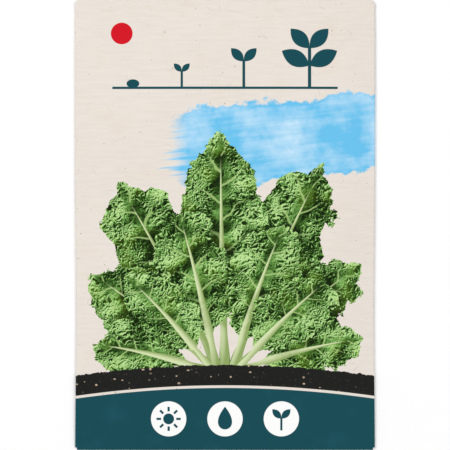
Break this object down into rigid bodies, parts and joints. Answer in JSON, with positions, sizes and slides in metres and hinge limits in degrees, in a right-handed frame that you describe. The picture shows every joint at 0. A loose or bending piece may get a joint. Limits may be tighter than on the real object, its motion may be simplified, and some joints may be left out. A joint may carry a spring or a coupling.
{
  "type": "seed packet",
  "caption": "Flat printed paper seed packet, folded from one sheet with a glued back seam and glued end flaps, holding a thin layer of round seeds.",
  "frame": {"origin": "centre of the packet's box, on the surface that it lies on", "axes": "+Z out of the printed front, +Y towards the packet's top edge, +X to the right as the front is looked at"},
  "size_m": [0.08, 0.12, 0.0041],
  "materials": {
    "printed_paper": "matt recycled paper, printed in colour on the outside",
    "dried_glue": "thin dried film",
    "seed_coat": "dull dark brown"
  },
  "bodies": {
    "root": {"paper_wrapper": "printed_paper", "seam_glue": "dried_glue", "bottom_flap_glue": "dried_glue", "top_flap_glue": "dried_glue", "seeds": "seed_coat"}
  },
  "joints": []
}
